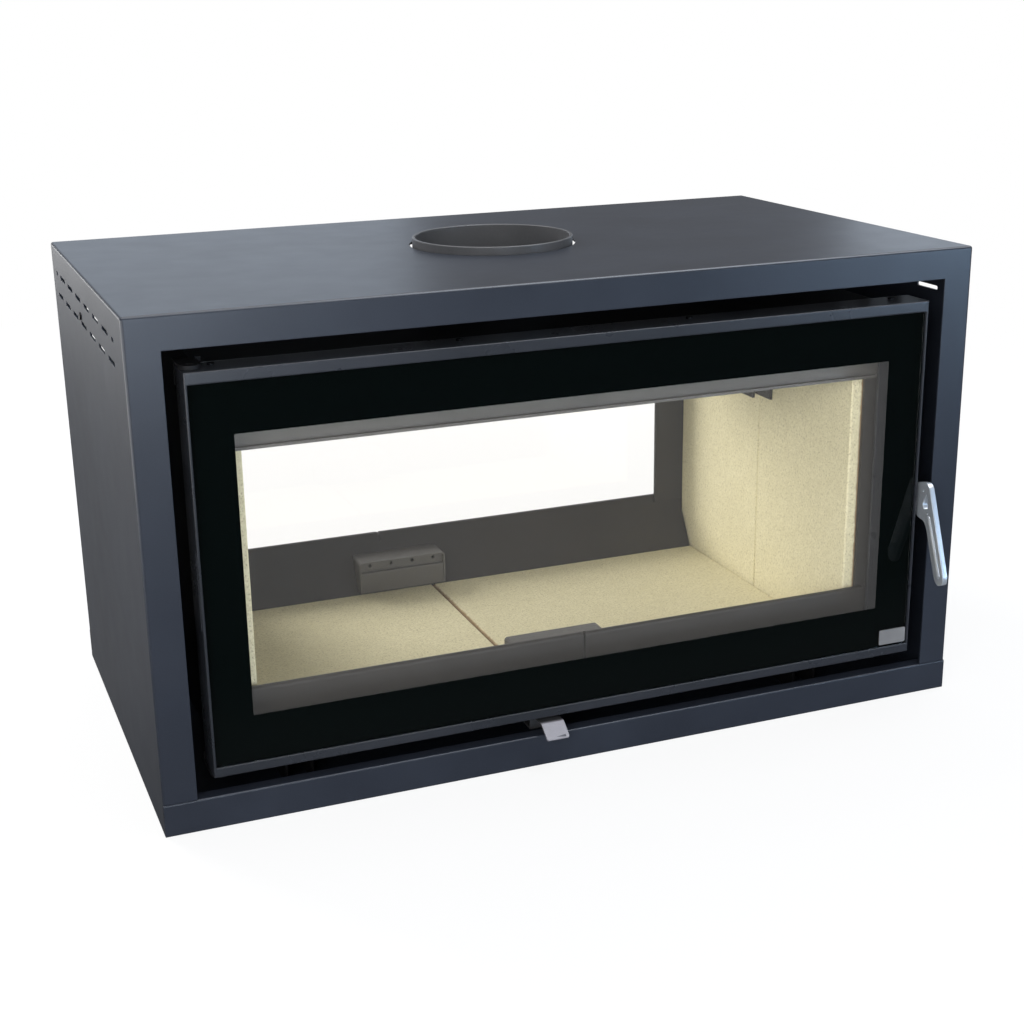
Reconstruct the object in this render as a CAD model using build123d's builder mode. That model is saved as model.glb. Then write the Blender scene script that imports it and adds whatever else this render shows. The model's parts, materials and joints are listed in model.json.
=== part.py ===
from build123d import *
import os

# Double-sided fireplace insert. Millimetres, Z up, origin at the centre of the base, front at -Y.

# ---- casing -------------------------------------------------------------------------------------
width = 900.0
depth = 500.0
height = 512.0
sheet = 2.0
bend = 3.0
side_flange = 33.5
top_flange = 33.0
rail_height = 34.4
rail_lip = 15.0
seam = 0.3

# how much of a sheet's thickness, a screw head's height or a rim's wall its rounding takes
sheet_round = 0.9
head_round = 0.4
rim_round = 0.3

# the flue and the vents stand this far behind the middle
top_shift = 9.0
collar_radius = 89.0
collar_wall = 3.5
collar_rise = 8.5
collar_hole_gap = 3.0
collar_flange = 16.0

vent_length = 38.0
vent_width = 4.5
vent_pitch = 61.5
vent_low_count = 7
vent_high_count = 6
vent_low_drop = 54.0
vent_high_drop = 30.5
vent_stub_length = 12.0
vent_stub_reach = 201.0

side_screw_back = 27.0
side_screw_drop = 47.0
side_screw_radius = 2.0
side_screw_head = 4.0
side_screw_head_height = 2.0
side_screw_grip = 8.0
side_bracket_width = 30.0
side_bracket_sheet = 3.0
side_bracket_foot = 24.0
side_bracket_above = 15.0

# ---- firebox ------------------------------------------------------------------------------------
steel = 4.0
frame_set_back = 46.0
firebox_base = 31.0
firebox_top_gap = 62.0
convection_gap = 73.4
brick = 30.0
floor_brick = 25.0
brick_gap = 0.6
brick_edge = 1.5
floor_brick_edge = 3.0
smoke_space = 80.0
floor_joint = -30.0
floor_end = 82.0

frame_inset = 12.5
front_post_cover = 17.0
rear_post_inset = 40.0
frame_sill_rise = 18.0
frame_lintel_drop = 60.0
hinge_ear = 13.0

deflector_sheet = 3.0
deflector_end_gap = 18.0
deflector_hang = 21.0
deflector_height = 56.0
deflector_lip = 7.0
deflector_lip_notch = 6.0

guard_sheet = 3.0
guard_rise = 65.5
guard_skirt_back = 38.5
guard_crown = 7.0
guard_skirt = 43.5
guard_bend = 3.2
guard_side_gap = 3.0
guard_crown_end_gap = 26.0
guard_slit_width = 2.4
guard_slit_depth = 10.0
guard_slit_eye = 2.8
front_slit = 12.0
rear_slit = 88.0

air_box_width = 111.5
air_box_height = 44.0
air_box_sheet = 2.0
air_box_bend = 4.0
air_box_recess = 6.0
air_box_recess_height = 12.0
air_box_plate_inset = 1.5
air_hole_radius = 2.2
air_hole_pitch = 27.5
air_hole_drop = 4.5
air_hole_count = 4
front_air_box = 4.0
front_air_box_reach = 30.0
rear_air_box = 72.0
rear_air_box_reach = 12.0

baffle = 6.0
baffle_depth = 260.0
baffle_side_gap = 1.5
baffle_drop = 46.0
baffle_rest = 22.0
baffle_flat = 64.0
baffle_bend = 6.0
baffle_bracket_reach = 27.0
baffle_bracket_width = 60.0
baffle_bracket_height = 18.0
baffle_bracket_lip = 13.0
baffle_bracket_sheet = 3.0

foot_width = 30.0
foot_inset = 74.6
foot_end_gap = 60.0
foot_sheet = 3.0

# ---- doors --------------------------------------------------------------------------------------
door_side_gap = 18.0
door_bottom_gap = 19.6
door_top_gap = 22.0
door_depth = 40.0
door_sheet = 2.5
door_edge = 1.2
door_top_lip = 11.5
door_bottom_lip = 10.0
door_slot_rise = 151.0
door_slot_height = 80.0
door_slot_width = 6.0

glass = 4.0
glass_gap = 0.2
window_side_margin = 43.5
window_bottom_margin = 57.3
window_top_margin = 62.5
print_thickness = 0.3
glass_tape = 3.0
glass_tape_width = 12.0
glass_tape_inset = 1.8
retainer_sheet = 2.5
retainer_lip = 13.5
retainer_flange = 20.0
retainer_end_gap = 20.0
retainer_corner_gap = 44.0

ring_set_back = 34.0
ring_sheet = 3.0
ring_side_margin = 36.5
ring_bottom_margin = 36.0
ring_top_margin = 37.0
rope_width = 12.0
rope_side_margin = 13.5
rope_bottom_margin = 9.0
rope_top_margin = 15.0
rope_corner = 16.0
rope_edge = 3.0
rope_clearance = 0.3
fence_sheet = 2.5
fence_depth = 5.0
fence_gap = 0.5

door_screw_end_gap = 30.5
door_screw_middle = 125.0
door_screw_back = 27.0
door_screw_radius = 2.0
door_screw_head = 3.5
door_screw_head_height = 2.0
door_screw_length = 8.0

hinge_inset = 9.5
hinge_back = 18.0
hinge_pin_radius = 4.0
hinge_running_gap = 0.05
hinge_plate = 4.0
hinge_plate_half_width = 10.0
hinge_end_gap = 0.3
hinge_bush_half_width = 7.0
hinge_bush_height = 13.5
hinge_pin_short = 2.0

badge_width = 34.0
badge_height = 17.5
badge_thickness = 1.2
badge_side_inset = 21.0
badge_rise = 21.3
badge_corner = 1.5

# ---- handle and latch ---------------------------------------------------------------------------
lever_inset = 2.5
lever = 9.0
lever_pivot_back = 22.0
lever_pivot_rise = 181.0
lever_hub = 13.0
shaft_radius = 5.0
bush_radius = 9.0
bush_flange_radius = 12.0
bush_flange = 2.0
bush_inner = 3.0
rib_rise = 1.5
rib_width = 5.5
rib_inset = 4.0
dimple_radius = 1.3
dimple_depth = 0.8
boss_radius = 3.6

# the handle's outline: how far each corner stands out from the casing's face, and how far it
# rises above the pivot or drops below it
arm_root = 2.0
arm_top_rise = 19.0
arm_bottom_drop = 21.5
knuckle_out = 17.5
knuckle_rise = 23.0
heel_out = 23.5
heel_rise = 14.0
tip_out = 59.5
tip_drop = 73.0
toe_out = 59.0
toe_drop = 84.0
end_out = 43.0
end_drop = 89.0
grip_inner_out = 35.0
grip_inner_drop = 83.0
crook_out = 14.5
crook_drop = 27.0
arm_crook_out = 9.0
arm_crook_drop = 22.0
knuckle_round = 4.0
tip_round = 5.0
grip_edge = 1.2
eye_top_out = 10.0
eye_top_rise = 12.0
eye_far_out = 17.0
eye_far_drop = 5.0
eye_near_out = 12.5
eye_near_drop = 6.0
boss_out = 8.5
boss_drop = 5.0
upper_dimple_out = 6.6
upper_dimple_rise = 11.0
lower_dimple_out = 16.5
lower_dimple_drop = 13.0

cam = 6.0
cam_inset = 12.0
cam_hub = 9.0
cam_reach = 36.0
cam_nose = 12.0
cam_nose_top = 10.0
cam_slot_inner_gap = 1.0
cam_slot_outer_gap = 3.0
cam_slot_drop = 40.0
cam_slot_rise = 27.0
keeper_gap = 0.5
keeper_sheet = 3.0
keeper_ledge = 4.5
keeper_depth = 13.0
keeper_height = 29.5

# ---- air control --------------------------------------------------------------------------------
slide = 2.0
slide_gap = 0.3
slide_left = -190.0
slide_right = 10.0
slide_back = 90.0
slide_depth = 34.0
air_inlet_radius = 13.0
air_inlet_pitch = 74.0
air_inlet_left = -141.0
air_inlet_count = 2
tab_left = -55.0
tab_width = 25.0
tab_overhang = 18.0
tab_rise_back = 30.0
tab_clearance = 1.0
tab_door_gap = 5.0
tab_bend_ahead = 2.0
guide_sheet = 3.0
guide_grip = 6.0
guide_end_left = -195.0
guide_end_right = 90.0
guide_window_left = -60.0
guide_window_right = 52.0

# ---- places worked out from the sizes above -----------------------------------------------------
front = -depth / 2
opening_half = width / 2 - side_flange
opening_top = height - top_flange
frame_front = front + frame_set_back
frame_back = frame_front + steel
firebox_top = height - firebox_top_gap
firebox_floor = firebox_base + steel
brick_floor = firebox_floor + floor_brick
side_outer = width / 2 - sheet - convection_gap
side_inner = side_outer - steel
brick_back = side_inner - brick_gap
brick_face = brick_back - brick
collar_top = height + collar_rise
collar_bore = collar_radius - collar_wall
side_brick_top = firebox_top - smoke_space
baffle_low = side_brick_top - baffle_drop
vent_low = height - vent_low_drop
vent_high = height - vent_high_drop
screw_z = height - side_screw_drop

door_half_width = opening_half - door_side_gap
door_low = rail_height + door_bottom_gap
door_high = opening_top - door_top_gap
door_inner = door_half_width - door_sheet
door_floor = door_low + door_sheet
door_ceiling = door_high - door_sheet
glass_front = front + door_sheet
glass_back = glass_front + glass
print_back = glass_back + print_thickness
tape_back = print_back + glass_tape
ring_front = front + ring_set_back
ring_back = ring_front + ring_sheet
window_half_width = door_half_width - window_side_margin
window_low = door_low + window_bottom_margin
window_high = door_high - window_top_margin
rope_half_width = door_half_width - rope_side_margin
rope_low = door_low + rope_bottom_margin
rope_high = door_high - rope_top_margin

frame_half_width = door_half_width - frame_inset
front_post = brick_back - front_post_cover
rear_post = brick_face - rear_post_inset
frame_sill = brick_floor + frame_sill_rise
frame_lintel = firebox_top - frame_lintel_drop
guard_top = brick_floor + guard_rise
guard_foot = front + floor_end - brick_gap
guard_shelf = front + guard_skirt_back + guard_crown

hinge_x = -(door_half_width - hinge_inset)
hinge_y = front + hinge_back
lever_x = door_half_width + lever_inset
lever_y = front + lever_pivot_back
lever_z = door_low + lever_pivot_rise
cam_x = door_half_width - cam_inset
slide_top = firebox_base - slide_gap
slide_low = slide_top - slide
slide_front = front + slide_back - slide_depth / 2
tab_low = rail_height + tab_clearance
tab_high = door_low - tab_door_gap

os.makedirs("parts", exist_ok=True)


def slab(x, y, z, mode=Mode.ADD):
    """A box between a low and a high x, y and z."""
    middle = ((x[0] + x[1]) / 2, (y[0] + y[1]) / 2, (z[0] + z[1]) / 2)
    with Locations(middle):
        Box(x[1] - x[0], y[1] - y[0], z[1] - z[0], mode=mode)


def upright_rod(x, y, z, radius, mode=Mode.ADD):
    """A rod along Z between a low and a high z."""
    with Locations((x, y, (z[0] + z[1]) / 2)):
        Cylinder(radius, z[1] - z[0], mode=mode)


def cross_rod(x, y, z, radius, mode=Mode.ADD):
    """A rod along X between a low and a high x."""
    with Locations(((x[0] + x[1]) / 2, y, z)):
        Cylinder(radius, x[1] - x[0], rotation=(0, 90, 0), mode=mode)


def save(piece, name):
    """Names a finished piece and writes its file."""
    piece.part.label = name
    export_step(piece.part, f"parts/{name}.step")


def save_turned(piece, name):
    """Writes a piece of the front, turned half round to the rear."""
    with BuildPart() as rear_piece:
        add(piece.part, rotation=(0, 0, 180))
    save(rear_piece, name)


# ---- casing -------------------------------------------------------------------------------------
flange_foot = rail_height + seam

with BuildPart() as casing_wrap:
    slab((-width / 2, width / 2), (-depth / 2, depth / 2), (0, height))
    fillet(casing_wrap.edges().filter_by(lambda edge: edge.center().Z > 1), bend)
    inner_x = (sheet - width / 2, width / 2 - sheet)
    slab(inner_x, (sheet - depth / 2, depth / 2 - sheet), (0, height - sheet), Mode.SUBTRACT)
    slab((-opening_half, opening_half), (-depth, depth), (0, opening_top), Mode.SUBTRACT)
    for end in (-1, 1):
        face_y = sorted((end * depth / 2, end * (depth / 2 - bend - seam)))
        slab((-width, width), face_y, (0, flange_foot), Mode.SUBTRACT)
    upright_rod(0, top_shift, (height - sheet, height), collar_radius + collar_hole_gap, Mode.SUBTRACT)
    with BuildSketch(Plane.YZ.offset(width / 2)):
        with Locations((top_shift, vent_low)):
            with GridLocations(vent_pitch, 1, vent_low_count, 1):
                SlotOverall(vent_length, vent_width)
        with Locations((top_shift, vent_high)):
            with GridLocations(vent_pitch, 1, vent_high_count, 1):
                SlotOverall(vent_length, vent_width)
            with GridLocations(2 * vent_stub_reach, 1, 2, 1):
                SlotOverall(vent_stub_length, vent_width)
    extrude(amount=-width, mode=Mode.SUBTRACT)
    cross_rod((-width, width), side_screw_back, screw_z, side_screw_radius, Mode.SUBTRACT)
save(casing_wrap, "casing_wrap")

with BuildPart() as base_tray:
    tray_half = width / 2 - sheet - seam
    slab((-tray_half, tray_half), (-depth / 2, depth / 2), (0, sheet))
    for end in (-1, 1):
        rail_y = sorted((end * depth / 2, end * (depth / 2 - sheet)))
        lip_y = sorted((end * depth / 2, end * (depth / 2 - rail_lip)))
        slab((-width / 2, width / 2), rail_y, (0, rail_height))
        slab((-tray_half, tray_half), lip_y, (rail_height - sheet, rail_height))
    rail_edges = base_tray.edges().filter_by(Axis.X).filter_by(
        lambda edge: abs(abs(edge.center().Y) - depth / 2) < 0.01
    )
    fillet(rail_edges, sheet * sheet_round)
save(base_tray, "base_tray")

# ---- what holds the casing to the firebox -------------------------------------------------------
bracket_y = (side_screw_back - side_bracket_width / 2, side_screw_back + side_bracket_width / 2)
bracket_outer = width / 2 - sheet
bracket_upright = bracket_outer - side_bracket_sheet

with BuildPart() as casing_brackets:
    for side in (-1, 1):
        foot_x = sorted((side * (side_outer - side_bracket_foot), side * bracket_outer))
        upright_x = sorted((side * bracket_upright, side * bracket_outer))
        slab(foot_x, bracket_y, (firebox_top, firebox_top + side_bracket_sheet))
        slab(upright_x, bracket_y, (firebox_top, screw_z + side_bracket_above))
    cross_rod((-width, width), side_screw_back, screw_z, side_screw_radius, Mode.SUBTRACT)
save(casing_brackets, "casing_brackets")

with BuildPart() as casing_screws:
    for side in (-1, 1):
        head_x = sorted((side * width / 2, side * (width / 2 + side_screw_head_height)))
        shank_x = sorted((side * (width / 2 - side_screw_grip), side * width / 2))
        cross_rod(head_x, side_screw_back, screw_z, side_screw_head)
        cross_rod(shank_x, side_screw_back, screw_z, side_screw_radius)
    fillet(casing_screws.faces().sort_by(Axis.X)[0].edges(), side_screw_head_height * head_round)
    fillet(casing_screws.faces().sort_by(Axis.X)[-1].edges(), side_screw_head_height * head_round)
save(casing_screws, "casing_screws")

with BuildPart() as firebox_feet:
    foot_y = (front + foot_end_gap, -front - foot_end_gap)
    foot_centre = side_outer - foot_inset
    for side in (-1, 1):
        foot_low = side * foot_centre - foot_width / 2
        foot_high = side * foot_centre + foot_width / 2
        slab((foot_low, foot_high), foot_y, (sheet, firebox_base))
        slab(
            (foot_low + foot_sheet, foot_high - foot_sheet),
            foot_y,
            (sheet, firebox_base - foot_sheet),
            Mode.SUBTRACT,
        )
save(firebox_feet, "firebox_feet")

# ---- firebox body -------------------------------------------------------------------------------
box_y = (frame_back, -frame_back)

with BuildPart() as firebox_bottom:
    slab((-side_outer, side_outer), box_y, (firebox_base, firebox_floor))
    for hole in range(air_inlet_count):
        inlet_x = air_inlet_left + hole * air_inlet_pitch
        inlet_z = (firebox_base, firebox_floor)
        upright_rod(inlet_x, front + slide_back, inlet_z, air_inlet_radius, Mode.SUBTRACT)
save(firebox_bottom, "firebox_bottom")

with BuildPart() as firebox_top_plate:
    slab((-side_outer, side_outer), box_y, (firebox_top - steel, firebox_top))
    upright_rod(0, top_shift, (firebox_top - steel, firebox_top), collar_bore, Mode.SUBTRACT)
save(firebox_top_plate, "firebox_top_plate")

for side, side_name in ((-1, "left"), (1, "right")):
    with BuildPart() as firebox_side:
        side_x = sorted((side * side_inner, side * side_outer))
        slab(side_x, box_y, (firebox_floor, firebox_top - steel))
    save(firebox_side, f"firebox_side_{side_name}")

with BuildPart() as flue_collar:
    upright_rod(0, top_shift, (firebox_top, collar_top), collar_radius)
    flange_z = (firebox_top, firebox_top + steel)
    upright_rod(0, top_shift, flange_z, collar_radius + collar_flange)
    upright_rod(0, top_shift, (firebox_top, collar_top), collar_bore, Mode.SUBTRACT)
    rim = flue_collar.faces().sort_by(Axis.Z)[-1]
    fillet(rim.edges(), collar_wall * rim_round)
save(flue_collar, "flue_collar")


def firebox_frame(post):
    """The face plate that a door shuts against, with its hinge ears."""
    with BuildPart() as plate:
        plate_y = (frame_front, frame_back)
        ear_x = (hinge_x - hinge_plate_half_width, -frame_half_width + hinge_ear)
        ear_low = door_low - hinge_end_gap - hinge_plate
        ear_high = door_high + hinge_end_gap + hinge_plate
        slab((-frame_half_width, frame_half_width), plate_y, (firebox_base, firebox_top))
        slab(ear_x, plate_y, (firebox_top - hinge_ear, ear_high))
        slab(ear_x, plate_y, (ear_low, ear_low + hinge_ear))
        slab((-post, post), plate_y, (frame_sill, frame_lintel), Mode.SUBTRACT)
    return plate


front_frame = firebox_frame(front_post)
save(front_frame, "front_frame")
rear_frame = firebox_frame(rear_post)
save_turned(rear_frame, "rear_frame")

with BuildPart() as front_deflector:
    deflector_half = frame_half_width - deflector_end_gap
    deflector_low = frame_lintel - deflector_hang
    hung_y = (frame_front - deflector_sheet, frame_front)
    hung_z = (deflector_low, deflector_low + deflector_height)
    slab((-deflector_half, deflector_half), hung_y, hung_z)
    # the lip stops short of the ends, where the door's rope swings past
    lip_half = deflector_half - deflector_lip_notch
    lip_reach = (frame_front - deflector_lip, frame_front)
    slab((-lip_half, lip_half), lip_reach, (deflector_low, deflector_low + deflector_sheet))
    fillet(
        front_deflector.edges().filter_by(Axis.X).group_by(Axis.Z)[0].sort_by(Axis.Y)[-1],
        deflector_sheet * sheet_round,
    )
save(front_deflector, "front_deflector")
save_turned(front_deflector, "rear_deflector")

# ---- log guards and their air boxes -------------------------------------------------------------


def log_guard(post, slit):
    """A plate that leans from the floor bricks' end over the sill, with a skirt towards the door."""
    skirt = front + guard_skirt_back
    with BuildPart() as guard:
        crown_half = frame_half_width - guard_crown_end_gap
        with BuildSketch(Plane.YZ.offset(-crown_half)):
            with BuildLine():
                FilletPolyline(
                    (guard_foot, firebox_floor),
                    (guard_foot, brick_floor),
                    (guard_shelf, guard_top),
                    (skirt, guard_top),
                    (skirt, guard_top - guard_skirt),
                    radius=guard_bend,
                )
                offset(amount=guard_sheet, side=Side.LEFT)
            make_face()
        extrude(amount=2 * crown_half)
        # the crown runs on in front of the posts, and the plate stands between the side bricks
        for side in (-1, 1):
            brick_x = sorted((side * (brick_face - guard_side_gap), side * crown_half))
            post_x = sorted((side * (post - guard_side_gap), side * crown_half))
            past_posts = (frame_back + seam, guard_foot + guard_sheet)
            slab(brick_x, past_posts, (firebox_floor, guard_top), Mode.SUBTRACT)
            slab(post_x, (frame_front - seam, past_posts[0]), (firebox_floor, guard_top), Mode.SUBTRACT)
        # the slit runs up the whole skirt, through an eye in the crown, and a little down the fire side
        slit_x = (slit - guard_slit_width / 2, slit + guard_slit_width / 2)
        crown_middle = (skirt + guard_shelf) / 2
        slit_low = guard_top - guard_slit_depth
        slab(slit_x, (skirt, crown_middle), (guard_top - guard_skirt, guard_top), Mode.SUBTRACT)
        slab(slit_x, (crown_middle, guard_foot), (slit_low, guard_top), Mode.SUBTRACT)
        eye_z = (guard_top - guard_bend, guard_top)
        upright_rod(slit, crown_middle, eye_z, guard_slit_eye, Mode.SUBTRACT)
    return guard


def guard_face(z):
    """Where the guard's fire side stands at a height, on the front guard."""
    lean = (guard_foot - guard_shelf) / (guard_top - brick_floor)
    return guard_foot - lean * (z - brick_floor)


def air_box(centre, reach):
    """A bent cover on the guard, open to the fire, with a row of jets under its roof."""
    seat = brick_floor + 2 * air_box_sheet
    top = brick_floor + air_box_height
    roof = top - air_box_sheet
    nose = guard_foot + reach
    step = roof - air_box_recess_height
    strip = nose - air_box_recess
    plate = nose - air_box_plate_inset
    left = centre - air_box_width / 2
    with BuildPart() as cover:
        with BuildSketch(Plane.YZ.offset(left)):
            with BuildLine():
                Polyline(
                    (guard_face(seat) + seam, seat),
                    (guard_face(top) + seam, top),
                    (nose, top),
                    (nose, seat),
                    close=True,
                )
            make_face()
        extrude(amount=air_box_width)
        fillet(cover.faces().sort_by(Axis.Z)[-1].edges().filter_by(Axis.Y), air_box_bend)
        # the front is cut back to a strip under the roof and a plate below it
        with BuildSketch(Plane.YZ.offset(left + air_box_sheet)) as front_cut:
            with BuildLine():
                Polyline(
                    (nose, roof),
                    (strip, roof),
                    (strip, step),
                    (plate, step),
                    (plate, seat),
                    (nose, seat),
                    close=True,
                )
            make_face()
            plate_corner = front_cut.vertices().sort_by_distance((plate, step))[0]
            fillet(plate_corner, air_box_sheet * sheet_round)
        extrude(amount=air_box_width - 2 * air_box_sheet, mode=Mode.SUBTRACT)
        # behind them the cover is hollow, against the guard
        with BuildSketch(Plane.YZ.offset(left + air_box_sheet)):
            with BuildLine():
                Polyline(
                    (guard_shelf, roof),
                    (strip - air_box_sheet, roof),
                    (strip - air_box_sheet, step - air_box_sheet),
                    (plate - air_box_sheet, step - air_box_sheet),
                    (plate - air_box_sheet, seat + air_box_sheet),
                    (guard_shelf, seat + air_box_sheet),
                    close=True,
                )
            make_face()
        extrude(amount=air_box_width - 2 * air_box_sheet, mode=Mode.SUBTRACT)
        with Locations((centre, strip - air_box_sheet / 2, roof - air_hole_drop)):
            with GridLocations(air_hole_pitch, 1, air_hole_count, 1):
                Cylinder(
                    air_hole_radius, 2 * air_box_sheet, rotation=(90, 0, 0), mode=Mode.SUBTRACT
                )
    return cover


front_log_guard = log_guard(front_post, front_slit)
save(front_log_guard, "front_log_guard")
rear_log_guard = log_guard(rear_post, rear_slit)
save_turned(rear_log_guard, "rear_log_guard")
front_air_cover = air_box(front_air_box, front_air_box_reach)
save(front_air_cover, "front_air_box")
rear_air_cover = air_box(rear_air_box, rear_air_box_reach)
save_turned(rear_air_cover, "rear_air_box")

# ---- bricks and baffle --------------------------------------------------------------------------
floor_y = (front + floor_end, -front - floor_end)
floor_left = (-brick_face + brick_gap, floor_joint - brick_gap / 2)
floor_right = (floor_joint + brick_gap / 2, brick_face - brick_gap)
for floor_x, side_name in ((floor_left, "left"), (floor_right, "right")):
    with BuildPart() as floor_slab:
        slab(floor_x, floor_y, (firebox_floor, brick_floor))
        chamfer(floor_slab.faces().sort_by(Axis.Z)[-1].edges(), floor_brick_edge)
    save(floor_slab, f"floor_brick_{side_name}")

front_half = (frame_back + brick_gap, -brick_gap / 2)
rear_half = (brick_gap / 2, -frame_back - brick_gap)
for side, side_name in ((-1, "left"), (1, "right")):
    for brick_y, end_name in ((front_half, "front"), (rear_half, "rear")):
        with BuildPart() as wall_brick:
            wall_x = sorted((side * brick_face, side * brick_back))
            slab(wall_x, brick_y, (firebox_floor, side_brick_top))
            hot_face = wall_brick.faces().filter_by(Axis.X).sort_by(
                lambda face: abs(face.center().X)
            )[0]
            chamfer(hot_face.edges(), brick_edge)
        save(wall_brick, f"side_brick_{side_name}_{end_name}")

# the baffle lies on the side bricks by its front and rear edges, and dips to the brackets between
with BuildPart() as baffle_plate:
    baffle_half = brick_back - baffle_side_gap
    baffle_end = baffle_depth / 2
    baffle_shoulder = baffle_end - baffle_rest
    with BuildSketch(Plane.YZ.offset(-baffle_half)):
        with BuildLine():
            FilletPolyline(
                (-baffle_end, side_brick_top),
                (-baffle_shoulder, side_brick_top),
                (-baffle_flat / 2, baffle_low),
                (baffle_flat / 2, baffle_low),
                (baffle_shoulder, side_brick_top),
                (baffle_end, side_brick_top),
                radius=baffle_bend,
            )
            offset(amount=baffle, side=Side.LEFT)
        make_face()
    extrude(amount=2 * baffle_half)
    # between the rests it clears the side bricks' faces
    dip_y = (-baffle_shoulder - baffle_bend, baffle_shoulder + baffle_bend)
    dip_z = (baffle_low, side_brick_top + baffle)
    for side in (-1, 1):
        dip_x = sorted((side * (brick_face - baffle_side_gap), side * baffle_half))
        slab(dip_x, dip_y, dip_z, Mode.SUBTRACT)
save(baffle_plate, "baffle_plate")

with BuildPart() as baffle_brackets:
    shelf_z = (baffle_low - baffle_bracket_sheet, baffle_low)
    web_z = (baffle_low - baffle_bracket_height, baffle_low)
    lip_z = (baffle_low - baffle_bracket_lip, baffle_low)
    web_y = (-baffle_bracket_width / 2, baffle_bracket_width / 2)
    for side in (-1, 1):
        web_x = sorted((side * (brick_face - baffle_bracket_sheet), side * brick_face))
        shelf_x = sorted((side * (brick_face - baffle_bracket_reach), side * brick_face))
        lip_in = brick_face - baffle_bracket_reach + baffle_bracket_sheet
        lip_x = sorted((side * (brick_face - baffle_bracket_reach), side * lip_in))
        slab(web_x, web_y, web_z)
        slab(shelf_x, web_y, shelf_z)
        slab(lip_x, web_y, lip_z)
save(baffle_brackets, "baffle_brackets")

# ---- air control --------------------------------------------------------------------------------
with BuildPart() as air_slide:
    slide_y = (slide_front, slide_front + slide_depth)
    tab_x = (tab_left, tab_left + tab_width)
    rise_y = (front + tab_rise_back, front + tab_rise_back + slide)
    slab((slide_left, slide_right), slide_y, (slide_low, slide_top))
    slab(tab_x, (rise_y[0], slide_front), (slide_low, slide_top))
    slab(tab_x, rise_y, (slide_low, tab_high))
    # the tab runs under the door, and bends down in front of the rail
    with BuildSketch(Plane.YZ.offset(tab_left)):
        with BuildLine():
            Polyline(
                (rise_y[1], tab_high - slide),
                (front - tab_bend_ahead, tab_high - slide),
                (front - tab_overhang, tab_low),
            )
            offset(amount=slide, side=Side.RIGHT)
        make_face()
    extrude(amount=tab_width)
    for hole in range(air_inlet_count):
        inlet_x = air_inlet_left + hole * air_inlet_pitch
        inlet_z = (slide_low, slide_top)
        upright_rod(inlet_x, front + slide_back, inlet_z, air_inlet_radius, Mode.SUBTRACT)
    tab_end = air_slide.faces().sort_by(Axis.Y)[0]
    fillet(tab_end.edges().filter_by(Axis.X, reverse=True), slide)
save(air_slide, "air_slide")

with BuildPart() as air_slide_guides:
    grip_top = slide_low - slide_gap
    grip_low = grip_top - guide_sheet
    near_web = (slide_front - slide_gap - guide_sheet, slide_front - slide_gap)
    near_grip = (near_web[0], slide_front + guide_grip)
    far_edge = slide_front + slide_depth
    far_web = (far_edge + slide_gap, far_edge + slide_gap + guide_sheet)
    far_grip = (far_edge - guide_grip, far_web[1])
    near_left = (guide_end_left, guide_window_left)
    near_right = (guide_window_right, guide_end_right)
    for guide_x in (near_left, near_right):
        slab(guide_x, near_web, (grip_low, firebox_base))
        slab(guide_x, near_grip, (grip_low, grip_top))
    slab((guide_end_left, guide_end_right), far_web, (grip_low, firebox_base))
    slab((guide_end_left, guide_end_right), far_grip, (grip_low, grip_top))
save(air_slide_guides, "air_slide_guides")

# ---- door ---------------------------------------------------------------------------------------
screw_y = front + door_screw_back
screw_end = door_half_width - door_screw_end_gap
door_screw_places = (-screw_end, -door_screw_middle, door_screw_middle, screw_end)
rope_middle = (rope_low + rope_high) / 2
rope_height = rope_high - rope_low

with BuildPart() as front_door_frame:
    slab((-door_half_width, door_half_width), (front, front + door_depth), (door_low, door_high))
    fillet(front_door_frame.faces().sort_by(Axis.Y)[0].edges(), door_edge)
    within = (-door_inner, door_inner)
    slab(within, (glass_front, 0), (door_floor, door_ceiling), Mode.SUBTRACT)
    glass_z = (door_low + door_bottom_lip, door_high - door_top_lip)
    slab(within, (front, glass_front), glass_z, Mode.SUBTRACT)
    slab(within, (ring_front, ring_back), (door_floor, door_ceiling))
    fence_in = 2 * (rope_width + fence_gap)
    fence_corner = rope_corner - rope_width - fence_gap
    with BuildSketch(Plane.XZ.offset(-ring_back)):
        with Locations((0, rope_middle)):
            RectangleRounded(2 * rope_half_width - fence_in, rope_height - fence_in, fence_corner)
            Rectangle(
                2 * rope_half_width - fence_in - 2 * fence_sheet,
                rope_height - fence_in - 2 * fence_sheet,
                mode=Mode.SUBTRACT,
            )
    extrude(amount=-fence_depth)
    ring_half = door_half_width - ring_side_margin
    ring_z = (door_low + ring_bottom_margin, door_high - ring_top_margin)
    slab((-ring_half, ring_half), (ring_front, ring_back), ring_z, Mode.SUBTRACT)
    slot_x = (cam_x - cam_slot_inner_gap, cam_x + cam + cam_slot_outer_gap)
    slot_z = (lever_z - cam_slot_drop, lever_z + cam_slot_rise)
    slab(slot_x, (ring_front, ring_back), slot_z, Mode.SUBTRACT)
    wall_right = (door_inner, door_half_width)
    cross_rod(wall_right, lever_y, lever_z, bush_radius, Mode.SUBTRACT)
    wall_left = (-door_half_width, -door_inner)
    slit_y = (glass_front, glass_front + door_slot_width)
    slit_z = (door_low + door_slot_rise, door_low + door_slot_rise + door_slot_height)
    slab(wall_left, slit_y, slit_z, Mode.SUBTRACT)
    for wall_z in ((door_low, door_floor), (door_ceiling, door_high)):
        pin_hole = hinge_pin_radius + hinge_running_gap
        upright_rod(hinge_x, hinge_y, wall_z, pin_hole, Mode.SUBTRACT)
        for screw_x in door_screw_places:
            upright_rod(screw_x, screw_y, wall_z, door_screw_radius, Mode.SUBTRACT)
save(front_door_frame, "front_door_frame")
save_turned(front_door_frame, "rear_door_frame")

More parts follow.
